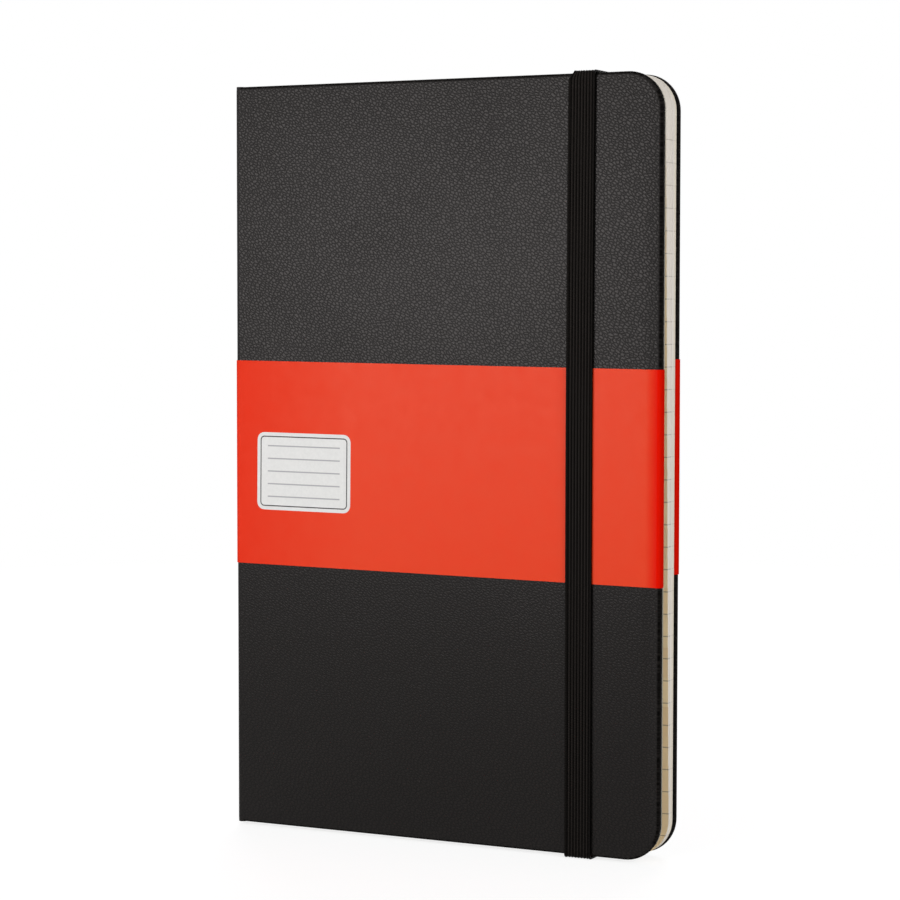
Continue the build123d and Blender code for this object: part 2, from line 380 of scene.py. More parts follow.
def makeStock(name, colour, spread, roughness=0.85):
    look = stockLook
    material, tree, paper = newMaterial(name, **{"Specular IOR Level": look["gloss"]})
    where = placeOn(tree)
    fibres = noiseOn(tree, where, look["fibreScale"], 3.0)
    clouds = noiseOn(tree, where, look["cloudScale"], 3.0)
    share = mathNode(tree, "MULTIPLY_ADD", fibres, 0.5, mathNode(tree, "MULTIPLY", clouds, 0.5))
    dark = tuple(c * (1 - spread) for c in colour[:3]) + (1,)
    tint = mixColours(tree, mapTo(tree, share, *noiseSpan, 0.0, 1.0), dark, colour)
    tree.links.new(tint, paper.inputs["Base Color"])
    dull = mapTo(tree, fibres, *noiseSpan, roughness - look["roughnessSpan"], roughness)
    tree.links.new(dull, paper.inputs["Roughness"])
    bumpOn(tree, paper, fibres, look["bump"], look["fibreHeight"])
    return material


# leaves: ruled faces, cut edges striped with painted shade between the leaves, and on the index sections a
# strip of painted warm shade in tan on each tab
pageLook = {
    "paper": (0.89, 0.835, 0.772, 1),
    "notes": (0.90, 0.855, 0.805, 1),
    "rear": (0.84, 0.765, 0.60, 1),
    # colour of the painted shade between the leaves, also reached at random by the fibres
    "shade": (0.76, 0.695, 0.605, 1),
    "rule": (0.26, 0.22, 0.17, 1),
    # tan colours of painted warm shade on the recessed tab faces
    "tab": (0.94, 0.78, 0.50, 1),
    "tabShadeDeep": (0.86, 0.67, 0.41, 1),
    "tabHeight": 8.0 * mm,
    "firstTab": 9.0 * mm,
    "pitch": 6.0 * mm,
    "headMargin": 15.0 * mm,
    "ruleWidth": 0.22 * mm,
    "ruleSoft": 1.6,
    "tabInset": 6.0 * mm,
    "softEdge": 0.1 * mm,
    "depthSlack": 0.02,
    "stripeScale": (60.0, 1 / (0.09 * mm), 25.0),
    "stripeSpan": (0.38, 0.62),
    "bleedScale": (10.0, 4200.0, 160.0),
    "bleedSpan": (0.40, 0.55),
    "faintTick": 0.2,
    "fibreScale": 1400.0,
    "fibreShare": 0.18,
    "fibreRise": 0.2,
    "faceTurn": (0.5, 0.6),
    "faceInk": 0.75,
    "gloss": 0.2,
    "roughness": (0.78, 0.9),
    "leafHeight": 0.05 * mm,
    "bump": 0.5,
}


def makePaper(name, look, paperTone, tickShare, withTabs=False):
    material, tree, paper = newMaterial(name, **{"Specular IOR Level": look["gloss"]})
    spot = addNode(tree, "TexCoord")
    where = spot.outputs["Object"]
    x, y, z = addNode(tree, "SeparateXYZ", {0: where}).outputs
    facing = addNode(tree, "SeparateXYZ", {0: spot.outputs["Normal"]}).outputs[1]
    face = mapTo(tree, mathNode(tree, "ABSOLUTE", facing), *look["faceTurn"], 0.0, 1.0)
    edge = mathNode(tree, "SUBTRACT", 1.0, face)

    fibres = noiseOn(tree, where, look["fibreScale"], 3.0)
    stripes = noiseOn(tree, stretched(tree, where, look["stripeScale"]), 1.0)
    # painted shade: the cut edges darken in stripes between the leaves, and the fibres shift the tone at
    # random toward the same colour
    tone = mathNode(tree, "MULTIPLY", edge, mapTo(tree, stripes, *look["stripeSpan"], 1.0, 0.0))
    tone = mathNode(tree, "MULTIPLY_ADD", fibres, look["fibreShare"], tone)
    colour = mixColours(tree, tone, paperTone, look["shade"])
    if withTabs:
        # each section's depth in the closed block tells which tab is its own
        firstY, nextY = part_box("section_a")[0].y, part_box("section_b")[0].y
        pitchY = nextY - firstY
        depth = mathNode(tree, "MULTIPLY_ADD", y, 1 / pitchY, look["depthSlack"] - firstY / pitchY)
        own = mathNode(tree, "FLOOR", depth)
        topZ = headZ - look["firstTab"]
        down = mathNode(tree, "MULTIPLY_ADD", z, -1 / look["tabHeight"], topZ / look["tabHeight"])
        # the last tab runs on down to the tail
        steps = mathNode(tree, "MINIMUM", mathNode(tree, "FLOOR", down), len(sections) - 1)
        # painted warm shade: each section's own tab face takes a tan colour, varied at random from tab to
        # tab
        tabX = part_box("section_xyz")[1].x - look["tabInset"]
        outer = mapTo(tree, x, tabX, tabX + look["softEdge"], 0.0, 1.0)
        tabShadeMask = mathNode(tree, "MULTIPLY", outer, face)
        tabShadeMask = mathNode(tree, "MULTIPLY", tabShadeMask, mathNode(tree, "COMPARE", own, steps, 0.5))
        change = addNode(tree, "TexWhiteNoise", {"W": steps}, noise_dimensions="1D").outputs["Value"]
        tint = mixColours(tree, change, look["tabShadeDeep"], look["tab"])
        colour = mixColours(tree, tabShadeMask, colour, tint)

    # printed rules every few millimetres up the page, which also mark the cut edge
    turns = mathNode(tree, "MULTIPLY_ADD", z, 1 / look["pitch"], 0.5 - tailZ / look["pitch"])
    away = fromHalf(tree, turns)
    half = look["ruleWidth"] / look["pitch"] / 2
    rule = mapTo(tree, away, half, half * look["ruleSoft"], 1.0, 0.0)
    # the head margin has no rules
    marginZ = headZ - look["headMargin"]
    below = mapTo(tree, z, marginZ, marginZ + look["softEdge"], 1.0, 0.0)
    rule = mathNode(tree, "MULTIPLY", rule, below)
    bleed = noiseOn(tree, stretched(tree, where, look["bleedScale"]), 1.0, 1.0)
    inked = mapTo(tree, bleed, *look["bleedSpan"], look["faintTick"] * tickShare, tickShare)
    ticks = mathNode(tree, "MULTIPLY", edge, inked)
    marks = mathNode(tree, "MULTIPLY", rule, mathNode(tree, "MULTIPLY_ADD", face, look["faceInk"], ticks))
    tree.links.new(mixColours(tree, marks, colour, look["rule"]), paper.inputs["Base Color"])
    tree.links.new(mapTo(tree, fibres, *noiseSpan, *look["roughness"]), paper.inputs["Roughness"])
    fuzz = mathNode(tree, "MULTIPLY", fibres, look["fibreRise"])
    height = mathNode(tree, "MULTIPLY_ADD", stripes, edge, fuzz)
    bumpOn(tree, paper, height, look["bump"], look["leafHeight"])
    return material


# woven elastic: bright lengthwise ribs between plain dark edges, with fine stitches along each rib; painted
# shade darkens the grooves between the ribs and the dips of the stitches
elasticLook = {
    "grooveShadeAndPlainEdge": (0.0002, 0.0002, 0.0002, 1),
    "peak": (0.0115, 0.0096, 0.0086, 1),
    "gleam": (1.0, 0.86, 0.79, 1),
    "gloss": 0.050,
    "roughness": (0.36, 0.46),
    "ribs": 8.75,
    "columns": 35,
    "firstRib": 1.05,
    "lastRib": 7.95,
    "ribSoft": 0.2,
    "crown": 0.27,
    "plainShare": 0.06,
    "stitch": 0.46 * mm,
    "stitchShare": 0.35,
    "stitchShade": 0.45,
    "stitchSpan": (0.1, 0.9),
    "stitchHeight": 0.06 * mm,
    "fuzzScale": 5200.0,
    "bump": 0.6,
}


def makeElastic(look):
    shine = {"Specular IOR Level": look["gloss"], "Specular Tint": look["gleam"]}
    material, tree, cloth = newMaterial("elastic", **shine)
    where = placeOn(tree)
    across = addNode(tree, "Attribute", attribute_name="across").outputs["Fac"]
    along = addNode(tree, "Attribute", attribute_name="along").outputs["Fac"]
    # the stitches of one rib are half a stitch on from its neighbour's
    offset = mathNode(tree, "MULTIPLY", mathNode(tree, "FLOOR", across), math.pi)
    turns = mathNode(tree, "MULTIPLY_ADD", along, 2 * math.pi / look["stitch"], offset)
    wave = mathNode(tree, "SINE", turns)
    fuzz = noiseOn(tree, where, look["fuzzScale"])
    height = mathNode(tree, "MULTIPLY_ADD", wave, look["stitchShare"], fuzz)
    crown = mapTo(tree, fromHalf(tree, across), 0.0, look["crown"], 1.0, 0.0)
    first, last, soft = look["firstRib"], look["lastRib"], look["ribSoft"]
    afterFirst = mapTo(tree, across, first - soft, first, 0.0, 1.0)
    beforeLast = mapTo(tree, across, last, last + soft, 1.0, 0.0)
    # painted shade darkens the grooves between the ribs and the dips of the stitches; the plain edges take
    # the same near-black colour
    onRib = mathNode(tree, "MULTIPLY", crown, mathNode(tree, "MULTIPLY", afterFirst, beforeLast))
    stitched = mapTo(tree, height, *look["stitchSpan"], look["stitchShade"], 1.0)
    ribbed = mathNode(tree, "MULTIPLY", mathNode(tree, "MAXIMUM", onRib, look["plainShare"]), stitched)
    tree.links.new(mixColours(tree, ribbed, look["grooveShadeAndPlainEdge"], look["peak"]), cloth.inputs["Base Color"])
    tree.links.new(mapTo(tree, fuzz, *noiseSpan, *look["roughness"]), cloth.inputs["Roughness"])
    bumpOn(tree, cloth, height, look["bump"], look["stitchHeight"])
    return material


# small woven things: gusset cloth, ribbon, lining and thread
wovenLook = {
    "gloss": 0.3,
    "unevenScale": 0.3,
    "unevenShare": 0.4,
    "weaveShare": 0.6,
    "roughnessSpan": 0.08,
    "threadHeight": 0.2,
    "bump": 0.5,
}


def makeWoven(name, warp, weft, pitch, roughness, sheen):
    look = wovenLook
    shine = {"Sheen Weight": sheen, "Specular IOR Level": look["gloss"]}
    material, tree, cloth = newMaterial(name, **shine)
    where = placeOn(tree)
    x, y, z = addNode(tree, "SeparateXYZ", {0: where}).outputs
    turn = 2 * math.pi / pitch
    over = mathNode(tree, "SINE", mathNode(tree, "MULTIPLY", mathNode(tree, "ADD", x, y), turn))
    under = mathNode(tree, "SINE", mathNode(tree, "MULTIPLY", z, turn))
    weave = mathNode(tree, "MULTIPLY", over, under)
    crossing = mapTo(tree, weave, -1.0, 1.0, 0.0, look["weaveShare"])
    uneven = noiseOn(tree, where, look["unevenScale"] / pitch)
    share = mathNode(tree, "MULTIPLY_ADD", uneven, look["unevenShare"], crossing)
    tree.links.new(mixColours(tree, share, warp, weft), cloth.inputs["Base Color"])
    span = look["roughnessSpan"]
    dull = mapTo(tree, uneven, *noiseSpan, roughness - span, roughness + span)
    tree.links.new(dull, cloth.inputs["Roughness"])
    bumpOn(tree, cloth, weave, look["bump"], pitch * look["threadHeight"])
    return material


leatherette = makeLeatherette("leatherette", leatherLook, "face")
leatherEdge = makeLeatherette("leather_edge", leatherLook, "edge")
bandInk = makeBandInk("band_print", bandLook, bandLook["faceGloss"])
bandFoldInk = makeBandInk("band_fold_print", bandLook, bandLook["foldGloss"])
bandCore = makeStock("band_core", bandLook["core"], spread=0.10)
endpaper = makeStock("endpaper", (0.69, 0.645, 0.545, 1), spread=0.06)
pocketCard = makeStock("pocket_card", (0.62, 0.565, 0.45, 1), spread=0.12)
greyBoard = makeStock("grey_board", (0.36, 0.33, 0.28, 1), spread=0.25)
sectionPaper = makePaper("section_paper", pageLook, pageLook["paper"], tickShare=0.45, withTabs=True)
notesPaper = makePaper("notes_paper", pageLook, pageLook["notes"], tickShare=0.15)
rearPaper = makePaper("rear_paper", pageLook, pageLook["rear"], tickShare=0.2)
elastic = makeElastic(elasticLook)
gussetCloth = makeWoven("gusset_cloth", (0.012, 0.012, 0.012, 1), (0.05, 0.05, 0.05, 1),
                        pitch=0.45 * mm, roughness=0.85, sheen=0.1)
ribbonSatin = makeWoven("ribbon_satin", (0.010, 0.010, 0.010, 1), (0.035, 0.034, 0.034, 1),
                        pitch=0.22 * mm, roughness=0.35, sheen=0.2)
threadLinen = makeWoven("thread_linen", (0.60, 0.55, 0.44, 1), (0.80, 0.76, 0.66, 1),
                        pitch=0.30 * mm, roughness=0.8, sheen=0.1)
liningMull = makeWoven("lining_mull", (0.52, 0.48, 0.40, 1), (0.74, 0.70, 0.60, 1),
                       pitch=0.9 * mm, roughness=0.9, sheen=0.05)
print("materials ready")

# covers: a board-thick plate in one skin, half round on its hinge line
coverSkin = {
    "cornerRadius": 10 * mm,
    "cornerSteps": 16,
    "beadSteps": 10,
    "flatLeft": 0.01 * mm,
    "edgeRound": 1.0 * mm,
    "edgeSteps": 4,
    "proud": 0.01 * mm,
    "longEdge": 100 * mm,
}


def makeCover(name, hinge, replaced):
    skin = coverSkin
    radius = beadRadius + skin["proud"]
    cover = standingPlane(name, hinge.x - radius, foreX, tailZ, headZ, hinge.y - radius)
    enterEdit(cover)
    pick("verts", lambda v: v.co.x > 0)
    bpy.ops.mesh.bevel(offset=skin["cornerRadius"], segments=skin["cornerSteps"], affect="VERTICES")
    bpy.ops.mesh.select_all(action="SELECT")
    bpy.ops.mesh.extrude_region_move(TRANSFORM_OT_translate={"value": (0, 2 * radius, 0)})
    faceOutwards()
    pick("edges", lambda e: all(v.co.x < hinge.x for v in e.verts) and e.calc_length() > skin["longEdge"])
    bevelEdges(radius - skin["flatLeft"], skin["beadSteps"])
    pick("edges", sharpEdge)
    bevelEdges(skin["edgeRound"], skin["edgeSteps"])
    leaveEdit()
    dressLeather(cover)
    smoothShade(cover)
    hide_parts(replaced)
    return cover


frontSkin = makeCover("front_skin", frontHinge, "front_wrap")
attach(frontSkin, "front_cover")
backSkin = makeCover("back_skin", backHinge, "back_wrap")

# two slots in the back, where the strap goes in
slotGap = 0.08 * mm
for endName in ("head", "tail"):
    endLow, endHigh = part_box("strap_end_" + endName)
    slotZ = endLow.z if endName == "head" else endHigh.z - strapThick
    cutLow = (endLow.x - slotGap, backHinge.y - coverThick, slotZ - slotGap)
    cutHigh = (endHigh.x + slotGap, backY + coverThick, slotZ + strapThick + slotGap)
    cutter = standingBox("slot_cutter_" + endName, cutLow, cutHigh)
    combine(backSkin, cutter, "DIFFERENCE")
dressLeather(backSkin)
smoothShade(backSkin)
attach(backSkin, "back_cover")
print("covers ready")

# spine: a flat slab between two round beads that lie inside the covers' round ends
spineSkin = {
    "slabThick": 1.56 * mm,
    "beadInset": 0.02 * mm,
    "steps": 40,
    "edgeRound": 0.45 * mm,
    "edgeSteps": 3,
    "near": 0.01 * mm,
}


def makeSpine(skin):
    low = (spineX, frontHinge.y, tailZ)
    high = (spineX + skin["slabThick"], backHinge.y, headZ)
    spine = standingBox("spine_skin", low, high)
    for hinge in (frontHinge, backHinge):
        deselectAll()
        bpy.ops.mesh.primitive_cylinder_add(
            vertices=skin["steps"], radius=beadRadius - skin["beadInset"], depth=headZ - tailZ,
            location=(hinge.x, hinge.y, (headZ + tailZ) / 2),
        )
        bead = bpy.context.object
        applyPlace()
        combine(spine, bead, "UNION")

    # sharp edges round the head and tail ends
    def endEdge(edge):
        gaps = [min(abs(v.co.z - tailZ), abs(v.co.z - headZ)) for v in edge.verts]
        return sharpEdge(edge) and max(gaps) < skin["near"]

    enterEdit(spine)
    pick("edges", endEdge)
    bevelEdges(skin["edgeRound"], skin["edgeSteps"], clamp=True)
    leaveEdit()
    dressLeather(spine)
    smoothShade(spine)
    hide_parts("spine_wrap")
    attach(spine, "spine")


makeSpine(spineSkin)
print("spine ready")


# a strip grown step by step: one row of points is extruded from place to place along a route
def extrudeRow(name, start, rowEnd, cuts, route):
    deselectAll()
    bpy.ops.mesh.primitive_plane_add(size=1)
    strip = bpy.context.object
    strip.name = strip.data.name = name
    bpy.ops.object.mode_set(mode="EDIT")
    pick("verts", lambda v: v.co.y > 0)
    bpy.ops.mesh.delete(type="VERT")
    leaveEdit()
    for vert, place in zip(strip.data.vertices, (start, rowEnd)):
        vert.co = place
    bpy.ops.object.mode_set(mode="EDIT")
    bpy.ops.mesh.select_all(action="SELECT")
    if cuts:
        bpy.ops.mesh.subdivide(number_cuts=cuts)
    bpy.ops.mesh.select_all(action="SELECT")
    for here, there in zip(route, route[1:]):
        step = Vector(there) - Vector(here)
        bpy.ops.mesh.extrude_region_move(TRANSFORM_OT_translate={"value": step})
    leaveEdit()
    return strip


def arcPoints(centre, radius, fromAngle, toAngle, steps):
    angles = [math.radians(fromAngle + (toAngle - fromAngle) * k / steps) for k in range(steps + 1)]
    return [(centre[0] + radius * math.cos(a), centre[1] + radius * math.sin(a)) for a in angles]


# paper band: one strip round both covers and the spine, cut at the two hinge lines
bandFold = {
    "skew": 0.53,
    "lift": 0.03 * mm,
    "foldRound": 1.1 * mm,
    "foldSteps": 6,
    "beadSteps": 12,
    "panelStep": 8 * mm,
    "spineStep": 3 * mm,
    "flapWidth": 14 * mm,
}
bandLow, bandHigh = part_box("band_front")
bandThick = frontY - bandLow.y
bandRise = math.tan(math.radians(bandFold["skew"]))
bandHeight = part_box("band_spine")[1].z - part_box("band_spine")[0].z
flapX = foreX - bandFold["flapWidth"]
flapMiddle = bandHigh.y - bandThick / 2


# height of the lower edge at a distance along the paper from the front fore-edge
def bandEdge(unrolled):
    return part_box("band_spine")[0].z + (unrolled - coverWidth - bookThick / 2) * bandRise


def alongLine(first, last, step):
    count = max(1, round((Vector(last) - Vector(first)).length / step))
    return [tuple(Vector(first).lerp(Vector(last), k / count)) for k in range(count + 1)]


def withHeights(flat, unrolledStart, direction):
    places, unrolled = [], unrolledStart
    for k, point in enumerate(flat):
        if k:
            unrolled += direction * (Vector(point) - Vector(flat[k - 1])).length
        places.append((point[0], point[1], bandEdge(unrolled)))
    return places


# an upright strip of the band's height, on the route of its lower edge
def bandStrip(name, route):
    x, y, z = route[0]
    return extrudeRow(name, route[0], (x, y, z + bandHeight), 0, route)


def finishBand(strip, replaced):
    applyModifier(strip, "SOLIDIFY", thickness=bandThick, offset=0,
                  material_offset=1, material_offset_rim=1)
    dress(strip, bandInk, bandCore, bandFoldInk)
    enterEdit(strip)
    faceOutwards()
    pick("faces", lambda f: f.material_index == 0 and f.normal.x > 0.1)
    strip.active_material_index = 2
    bpy.ops.object.material_slot_assign()
    leaveEdit()
    smoothShade(strip, degrees=40)
    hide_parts(replaced)


# side is -1 on the front and 1 on the back; the route runs from the spine to the end of the flap
def makeBandCover(name, hinge, side, spineUnrolled, direction, replaced):
    half = bandThick / 2 + bandFold["lift"]
    fold = bandFold["foldRound"]
    radius = beadRadius + half
    outerY = hinge.y + side * radius
    innerY = hinge.y - side * (flapMiddle - frontHinge.y)
    foldX = foreX + half
    bead = arcPoints((hinge.x, hinge.y), radius, 180, 180 - side * 90, bandFold["beadSteps"])
    outer = arcPoints((foldX - fold, outerY - side * fold), fold, side * 90, 0, bandFold["foldSteps"])
    inner = arcPoints((foldX - fold, innerY + side * fold), fold, 0, -side * 90, bandFold["foldSteps"])
    flat = bead[:-1] + alongLine(bead[-1], outer[0], bandFold["panelStep"])[:-1] + outer
    flat += inner + [(flapX, innerY)]
    route = withHeights(flat, spineUnrolled, direction)
    strip = bandStrip(name, route)
    finishBand(strip, replaced)
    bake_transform(strip)


makeBandCover("band_front_paper", frontHinge, -1, coverWidth, -1, "band_front")
makeBandCover("band_back_paper", backHinge, 1, coverWidth + bookThick, 1, "band_back")

spineOut = spineX - bandThick / 2 - bandFold["lift"]
spineFlat = [(spineOut, frontHinge.y), (spineOut, backHinge.y)]
spineLine = alongLine(spineFlat[0], spineFlat[1], bandFold["spineStep"])
spineRoute = withHeights(spineLine, coverWidth + beadRadius, 1)
spineStrip = bandStrip("band_spine_paper", spineRoute)
finishBand(spineStrip, "band_spine")
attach(spineStrip, "spine")
print("band ready")

# elastic strap: ribbed ribbon from slot to slot, over the head, down the front and under the tail
strapWeave = {
    "rightTrim": 0.4 * mm,
    "ribDepth": 0.38 * mm,
    "bend": 0.75 * mm,
    "bendSteps": 6,
    "runStep": 6 * mm,
    "lean": 0.5 * mm,
    "frontShift": -0.22 * mm,
    "shoulder": 1.5 * mm,
    "shoulderReach": 2.0 * mm,
    "shoulderRows": (0.5 * mm, 1.1 * mm, 1.8 * mm, 3.0 * mm),
    "leanStart": 0.45,
    "tuck": 0.8,
    # place between two ribs, and share of the depth there
    "grooves": ((0.0, 1.0), (0.25, 0.3), (0.75, 0.3)),
    "grooveReach": 0.1,
    "pastRibs": (0.5, 0.1),
    "thinShare": 0.3,
}
strapWidth = strapHigh.x - strapLow.x - strapWeave["rightTrim"]
strapMiddleX = strapLow.x + strapWidth / 2


def strapRoute(weave):
    half = strapThick / 2
    bend = weave["bend"]
    headEnd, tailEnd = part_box("strap_end_head"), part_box("strap_end_tail")
    slotHead = headEnd[0].z + half
    slotTail = tailEnd[1].z - half
    outerY, backMiddle = strapLow.y + half, backY + half
    topZ, bottomZ = headZ + half, tailZ - half
    insideY = backY - coverThick * weave["tuck"]
    corners = [
        ((backMiddle - bend, slotHead + bend), -90, 0),
        ((backMiddle - bend, topZ - bend), 0, 90),
        ((outerY + bend, topZ - bend), 90, 180),
        ((outerY + bend, bottomZ + bend), 180, 270),
        ((backMiddle - bend, bottomZ + bend), 270, 360),
        ((backMiddle - bend, slotTail - bend), 0, 90),
    ]
    flat = [(insideY, slotHead)]
    for centre, fromAngle, toAngle in corners:
        turn = arcPoints(centre, bend, fromAngle, toAngle, weave["bendSteps"])
        flat += alongLine(flat[-1], turn[0], weave["runStep"])[1:] + turn[1:]
        if fromAngle == 90:
            flat += [(turn[-1][0], turn[-1][1] - row) for row in weave["shoulderRows"]]
    flat.append((insideY, slotTail))
    route = []
    for y, z in flat:
        share = (z - tailZ) / (headZ - tailZ)
        upper = max(0.0, share - weave["leanStart"]) / (1 - weave["leanStart"])
        forward = (backMiddle - y) / (backMiddle - outerY)
        route.append((strapMiddleX + weave["lean"] * upper**2 + weave["frontShift"] * forward, y, z))
    return route


# stores each point's place across the ribs and its run along the strap, for the weave to follow
def markWeave(strap, route):
    runs = [0.0]
    for here, there in zip(route, route[1:]):
        runs.append(runs[-1] + (Vector(there) - Vector(here)).length)
    across, along = [], []
    for vert in strap.data.vertices:
        gaps = [(vert.co.y - y) ** 2 + (vert.co.z - z) ** 2 for x, y, z in route]
        row = gaps.index(min(gaps))
        share = (vert.co.x - route[row][0]) / strapWidth + 0.5
        across.append(share * elasticLook["ribs"])
        along.append(runs[row])
    for name, values in (("across", across), ("along", along)):
        strap.data.attributes.new(name, "FLOAT", "POINT").data.foreach_set("value", values)
    return across


def makeStrap(weave):
    route = strapRoute(weave)
    first = Vector(route[0])
    reach = Vector((strapWidth / 2, 0, 0))
    strap = extrudeRow("strap_elastic", first - reach, first + reach, elasticLook["columns"] - 1, route)
    enterEdit(strap)
    faceOutwards()
    leaveEdit()
    # outward is the side away from the book
    front = min(strap.data.polygons, key=lambda p: p.center.y)
    if front.normal.y > 0:
        enterEdit(strap)
        bpy.ops.mesh.select_all(action="SELECT")
        bpy.ops.mesh.flip_normals()
        leaveEdit()
    across = markWeave(strap, route)

    # on the ribbed part, and close to the groove's place between two ribs
    def inGroove(vert, phase):
        place = across[vert.index]
        before, after = weave["pastRibs"]
        onRibs = elasticLook["firstRib"] - before < place < elasticLook["lastRib"] + after
        return onRibs and abs((place - phase + 0.5) % 1 - 0.5) < weave["grooveReach"]

    enterEdit(strap)
    for phase, share in weave["grooves"]:
        pick("verts", lambda v: inGroove(v, phase))
        bpy.ops.transform.shrink_fatten(value=-share * weave["ribDepth"])
    leaveEdit()
    # the left edge draws in where the strap is pulled over the head
    for vert, place in zip(strap.data.vertices, across):
        rise = max(0.0, (vert.co.z - headZ) / weave["shoulderReach"] + 1)
        vert.co.x += weave["shoulder"] * min(rise, 1.0) ** 2 * (1 - place / elasticLook["ribs"]) ** 3
    clothThick = strapThick - weave["ribDepth"] * weave["thinShare"]
    applyModifier(strap, "SOLIDIFY", thickness=clothThick, offset=0)
    applyModifier(strap, "SUBSURF", levels=1, render_levels=1)
    dress(strap, elastic)
    smoothShade(strap, degrees=60)
    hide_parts("elastic_strap", "strap_end_head", "strap_end_tail")
    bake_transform(strap)


makeStrap(strapWeave)
print("strap ready")

# plain ruled label on the front of the band
labelPanel = {
    "left": -57.8 * mm,
    "right": -27.8 * mm,
    "low": 91 * mm,
    "high": 113 * mm,
    "corner": 2.2 * mm,
    "cornerSteps": 6,
    "thick": 0.02 * mm,
    "margin": 1.0 * mm,
    "frameLine": 0.32 * mm,
    "rulePitch": 3.6 * mm,
    "ruleWidth": 0.30 * mm,
    "ruleSoft": 1.5,
    "ruleInset": 3.4 * mm,
    "paper": (0.64, 0.637, 0.625, 1),
    "ruleInk": (0.33, 0.33, 0.34, 1),
    "frameInk": (0.045, 0.04, 0.04, 1),
    "gloss": 0.15,
    "roughness": 0.5,
    "fibreScale": 1600.0,
    "fibreShare": 0.12,
}
labelMiddle = Vector(((labelPanel["left"] + labelPanel["right"]) / 2, frontY - bandThick - bandFold["lift"],
                      (labelPanel["low"] + labelPanel["high"]) / 2))


def makeLabelPaper(panel):
    shine = {"Roughness": panel["roughness"], "Specular IOR Level": panel["gloss"]}
    material, tree, paper = newMaterial("label_paper", **shine)
    where = placeOn(tree)
    turned = {"Vector": where, "Location": labelMiddle, "Rotation": (0, math.radians(bandFold["skew"]), 0)}
    onLabel = addNode(tree, "Mapping", turned, vector_type="TEXTURE").outputs[0]
    apart = addNode(tree, "SeparateXYZ", {0: onLabel}).outputs
    x, z = apart["X"], apart["Z"]
    away = fromHalf(tree, mathNode(tree, "MULTIPLY_ADD", z, 1 / panel["rulePitch"], 0.5))
    half = panel["ruleWidth"] / panel["rulePitch"] / 2
    ruled = mapTo(tree, away, half, half * panel["ruleSoft"], 1.0, 0.0)
    reachX = (panel["right"] - panel["left"]) / 2 - panel["ruleInset"]
    reachZ = (panel["high"] - panel["low"]) / 2 - panel["ruleInset"]
    withinX = mathNode(tree, "LESS_THAN", mathNode(tree, "ABSOLUTE", x), reachX)
    withinZ = mathNode(tree, "LESS_THAN", mathNode(tree, "ABSOLUTE", z), reachZ)
    within = mathNode(tree, "MULTIPLY", withinX, withinZ)
    flecks = noiseOn(tree, where, panel["fibreScale"], 3.0)
    fibres = mapTo(tree, flecks, *noiseSpan, 0.0, panel["fibreShare"])
    inked = mathNode(tree, "MAXIMUM", mathNode(tree, "MULTIPLY", ruled, within), fibres)
    tree.links.new(mixColours(tree, inked, panel["paper"], panel["ruleInk"]), paper.inputs["Base Color"])
    return material


def makeLabel(panel):
    left, right, low, high = (panel[side] for side in ("left", "right", "low", "high"))
    label = standingPlane("band_label", left, right, low, high, labelMiddle.y)
    frameInk = makeStock("label_frame", panel["frameInk"], spread=0.3, roughness=0.6)
    dress(label, makeLabelPaper(panel), frameInk)
    enterEdit(label)
    bpy.ops.mesh.select_all(action="SELECT")
    bpy.ops.mesh.bevel(offset=panel["corner"], segments=panel["cornerSteps"], affect="VERTICES")
    bpy.ops.mesh.select_all(action="SELECT")
    bpy.ops.mesh.extrude_region_move(TRANSFORM_OT_translate={"value": (0, -panel["thick"], 0)})
    faceOutwards()
    pick("faces", lambda f: f.normal.y < -0.9)
    bpy.ops.mesh.inset(thickness=panel["margin"])
    label.active_material_index = 1
    bpy.ops.object.material_slot_assign()
    bpy.ops.mesh.inset(thickness=panel["frameLine"])
    label.active_material_index = 0
    bpy.ops.object.material_slot_assign()
    bpy.ops.mesh.select_all(action="SELECT")
    skew = math.radians(bandFold["skew"])
    bpy.ops.transform.rotate(value=-skew, orient_axis="Y", center_override=labelMiddle)
    leaveEdit()
    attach(label, "front_cover")


makeLabel(labelPanel)
print("label ready")

# index letters, on both faces of each tab
letterLook = {
    "tall": 3.7 * mm,
    "tallMany": 1.9 * mm,
    "fromTabEdge": 1.95 * mm,
    "thick": 0.006 * mm,
    "ink": (0.040, 0.036, 0.033, 1),
}
letterInk = makeStock("index_ink", letterLook["ink"], spread=0.35, roughness=0.8)


def makeLetter(section, row, look):
    low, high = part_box(section)
    letters = section.split("_")[1]
    deselectAll()
    bpy.ops.object.text_add()
    text = bpy.context.object
    text.data.body = letters.upper()
    text.data.align_x = "CENTER"
    text.data.align_y = "CENTER"
    text.data.size = look["tall"] if len(letters) == 1 else look["tallMany"]
    text.data.extrude = look["thick"] / 2
    bpy.ops.object.convert(target="MESH")
    letter = bpy.context.object
    letter.name = letter.data.name = "index_" + letters
    # the same letter again on the leaf's other face
    enterEdit(letter)
    bpy.ops.mesh.select_all(action="SELECT")
    bpy.ops.mesh.duplicate()
    bpy.ops.transform.rotate(value=math.pi, orient_axis="Y", center_override=(0, 0, 0))
    bpy.ops.transform.translate(value=(0, 0, low.y - high.y - look["thick"]))
    leaveEdit()
    tabZ = headZ - pageLook["firstTab"] - (row + 0.5) * pageLook["tabHeight"]
    tabX = high.x - pageLook["tabInset"] + look["fromTabEdge"]
    letter.location = (tabX, low.y - look["thick"] / 2, tabZ)
    letter.rotation_euler = (math.pi / 2, 0, 0)
    applyPlace()
    dress(letter, letterInk)
    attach(letter, section)


for row, section in enumerate(sections):
    makeLetter(section, row, letterLook)
print("index letters ready")

